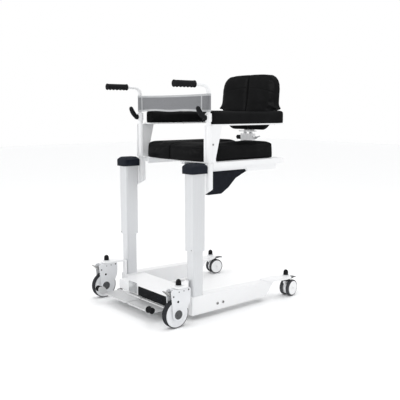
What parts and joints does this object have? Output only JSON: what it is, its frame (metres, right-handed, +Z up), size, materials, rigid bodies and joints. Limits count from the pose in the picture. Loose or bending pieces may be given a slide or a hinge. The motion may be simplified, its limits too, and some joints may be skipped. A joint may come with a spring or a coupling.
{
  "type": "sit to stand lift",
  "caption": "Wheeled transfer chair with twin electric lifting columns, a split seat that swings open, armrests, a backrest, a commode pail and fold-up footplates.",
  "frame": {"origin": "on the floor, midway between the frontmost and rearmost points and between the two sides", "axes": "+Z up; the footplates and hand grips face -Y; +X is the seated person's left side"},
  "size_m": [0.684, 0.9343, 1.198],
  "materials": {
    "white_paint": "white powder coat, satin",
    "anodised": "silver anodised",
    "steel": "brushed",
    "black_plastic": "black, satin",
    "grey_plastic": "grey, satin",
    "rubber": "black, matt",
    "tyre_grey": "dark grey, matt",
    "upholstery": "black polyurethane over foam",
    "mesh_fabric": "grey spacer mesh"
  },
  "bodies": {
    "base": {"left_leg": "white_paint", "right_leg": "white_paint", "cross_beam": "white_paint", "battery": "black_plastic", "control_box": "grey_plastic", "power_panel": "steel", "footplate_hinge_bar": "steel", "left_lower_tube": "anodised", "right_lower_tube": "anodised", "left_actuator_cylinder": "steel", "right_actuator_cylinder": "steel", "left_front_stem_cap": "rubber", "right_front_stem_cap": "rubber", "left_rear_stem_cap": "rubber", "right_rear_stem_cap": "rubber"},
    "left_footrest": {"left_footplate": "steel", "left_foot_knob": "rubber"},
    "left_front_caster": {"left_front_fork": "white_paint"},
    "left_front_wheel": {"left_front_rim": "grey_plastic", "left_front_tyre": "tyre_grey"},
    "left_front_brake": {"left_front_pedal": "steel"},
    "left_rear_caster": {"left_rear_yoke": "white_paint"},
    "left_rear_outer": {"left_rear_outer_wheel": "tyre_grey"},
    "left_rear_inner": {"left_rear_inner_wheel": "tyre_grey"},
    "left_rear_brake": {"left_rear_pedal": "steel"},
    "left_lift": {"left_upper_tube": "anodised", "left_column_cap": "black_plastic", "left_actuator_rod": "steel", "left_post_bracket": "white_paint"},
    "left_lever": {"left_clamp_lever": "black_plastic"},
    "left_handle": {"left_handle_tube": "white_paint", "left_handle_grip": "rubber", "mesh_panel": "mesh_fabric"},
    "left_wing": {"left_wing_frame": "white_paint", "left_seat_cushion": "upholstery", "left_armrest_pad": "upholstery"},
    "right_footrest": {"right_footplate": "steel", "right_foot_knob": "rubber"},
    "right_front_caster": {"right_front_fork": "white_paint"},
    "right_front_wheel": {"right_front_rim": "grey_plastic", "right_front_tyre": "tyre_grey"},
    "right_front_brake": {"right_front_pedal": "steel"},
    "right_rear_caster": {"right_rear_yoke": "white_paint"},
    "right_rear_outer": {"right_rear_outer_wheel": "tyre_grey"},
    "right_rear_inner": {"right_rear_inner_wheel": "tyre_grey"},
    "right_rear_brake": {"right_rear_pedal": "steel"},
    "right_lift": {"right_upper_tube": "anodised", "right_column_cap": "black_plastic", "right_actuator_rod": "steel", "right_post_bracket": "white_paint"},
    "right_lever": {"right_clamp_lever": "black_plastic"},
    "right_handle": {"right_handle_tube": "white_paint", "right_handle_grip": "rubber"},
    "right_wing": {"right_wing_frame": "white_paint", "right_seat_cushion": "upholstery", "right_armrest_pad": "upholstery"},
    "backrest": {"backrest_pad": "upholstery", "backrest_frame": "white_paint"},
    "backrest_clamp": {"backrest_knob": "black_plastic"},
    "pail": {"commode_pail": "black_plastic"}
  },
  "joints": [
    {"name": "left_footplate_flip", "type": "hinge", "parent": "base", "child": "left_footrest", "pos_m": [0.106, -0.3419, 0.052], "axis": [-1, 0, 0], "range_deg": [0, 90]},
    {"name": "left_front_swivel", "type": "hinge", "parent": "base", "child": "left_front_caster", "pos_m": [0.314, -0.3519, 0.15], "axis": [0, 0, 1], "continuous": true},
    {"name": "left_front_spin", "type": "hinge", "parent": "left_front_caster", "child": "left_front_wheel", "pos_m": [0.314, -0.3719, 0.066], "axis": [1, 0, 0], "continuous": true},
    {"name": "left_front_brake_press", "type": "hinge", "parent": "left_front_caster", "child": "left_front_brake", "pos_m": [0.314, -0.3969, 0.156], "axis": [1, 0, 0], "range_deg": [0, 12]},
    {"name": "left_rear_swivel", "type": "hinge", "parent": "base", "child": "left_rear_caster", "pos_m": [0.31, 0.3871, 0.06], "axis": [0, 0, 1], "continuous": true},
    {"name": "left_rear_outer_spin", "type": "hinge", "parent": "left_rear_caster", "child": "left_rear_outer", "pos_m": [0.30624, 0.41384, 0.044], "axis": [0.9903, 0.1392, 0], "continuous": true},
    {"name": "left_rear_inner_spin", "type": "hinge", "parent": "left_rear_caster", "child": "left_rear_inner", "pos_m": [0.30624, 0.41384, 0.044], "axis": [0.9903, 0.1392, 0], "continuous": true},
    {"name": "left_rear_brake_press", "type": "hinge", "parent": "left_rear_caster", "child": "left_rear_brake", "pos_m": [0.30555, 0.41879, 0.093], "axis": [0.9903, 0.1392, 0], "range_deg": [-8, 0]},
    {"name": "left_column_slide", "type": "slide", "parent": "base", "child": "left_lift", "axis": [0, 0, 1], "range_m": [-0.205, 0]},
    {"name": "left_lever_turn", "type": "hinge", "parent": "left_lift", "child": "left_lever", "pos_m": [0.28, -0.1639, 0.962], "axis": [0, 1, 0], "range_deg": [0, 90]},
    {"name": "left_handle_slide", "type": "slide", "parent": "left_lift", "child": "left_handle", "axis": [0, 0, 1], "range_m": [0, 0.08]},
    {"name": "left_wing_swing", "type": "hinge", "parent": "left_lift", "child": "left_wing", "pos_m": [0.28, -0.1419, 0.8], "axis": [0, 0, -1], "range_deg": [0, 90]},
    {"name": "right_footplate_flip", "type": "hinge", "parent": "base", "child": "right_footrest", "pos_m": [-0.106, -0.3419, 0.052], "axis": [-1, 0, 0], "range_deg": [0, 90]},
    {"name": "right_front_swivel", "type": "hinge", "parent": "base", "child": "right_front_caster", "pos_m": [-0.314, -0.3519, 0.15], "axis": [0, 0, 1], "continuous": true},
    {"name": "right_front_spin", "type": "hinge", "parent": "right_front_caster", "child": "right_front_wheel", "pos_m": [-0.314, -0.3719, 0.066], "axis": [1, 0, 0], "continuous": true},
    {"name": "right_front_brake_press", "type": "hinge", "parent": "right_front_caster", "child": "right_front_brake", "pos_m": [-0.314, -0.3969, 0.156], "axis": [1, 0, 0], "range_deg": [0, 12]},
    {"name": "right_rear_swivel", "type": "hinge", "parent": "base", "child": "right_rear_caster", "pos_m": [-0.31, 0.3871, 0.06], "axis": [0, 0, 1], "continuous": true},
    {"name": "right_rear_outer_spin", "type": "hinge", "parent": "right_rear_caster", "child": "right_rear_outer", "pos_m": [-0.30531, 0.41369, 0.044], "axis": [0.9848, -0.1736, 0], "continuous": true},
    {"name": "right_rear_inner_spin", "type": "hinge", "parent": "right_rear_caster", "child": "right_rear_inner", "pos_m": [-0.30531, 0.41369, 0.044], "axis": [0.9848, -0.1736, 0], "continuous": true},
    {"name": "right_rear_brake_press", "type": "hinge", "parent": "right_rear_caster", "child": "right_rear_brake", "pos_m": [-0.30444, 0.41861, 0.093], "axis": [0.9848, -0.1736, 0], "range_deg": [-8, 0]},
    {"name": "right_column_slide", "type": "slide", "parent": "base", "child": "right_lift", "axis": [0, 0, 1], "range_m": [-0.205, 0]},
    {"name": "right_lever_turn", "type": "hinge", "parent": "right_lift", "child": "right_lever", "pos_m": [-0.28, -0.1639, 0.962], "axis": [0, -1, 0], "range_deg": [0, 90]},
    {"name": "right_handle_slide", "type": "slide", "parent": "right_lift", "child": "right_handle", "axis": [0, 0, 1], "range_m": [0, 0.08]},
    {"name": "right_wing_swing", "type": "hinge", "parent": "right_lift", "child": "right_wing", "pos_m": [-0.28, -0.1419, 0.8], "axis": [0, 0, 1], "range_deg": [0, 90]},
    {"name": "backrest_slide", "type": "slide", "parent": "left_wing", "child": "backrest", "axis": [0, 0, 1], "range_m": [0, 0.06]},
    {"name": "backrest_knob_turn", "type": "hinge", "parent": "left_wing", "child": "backrest_clamp", "pos_m": [-0.06, 0.3941, 0.847], "axis": [1, 0, 0], "continuous": true},
    {"name": "pail_slide", "type": "slide", "parent": "left_wing", "child": "pail", "axis": [0, 1, 0], "range_m": [0, 0.3]}
  ],
  "couplings": [
    {"joint": "right_column_slide", "follows": "left_column_slide", "ratio": 1},
    {"joint": "right_handle_slide", "follows": "left_handle_slide", "ratio": 1}
  ]
}
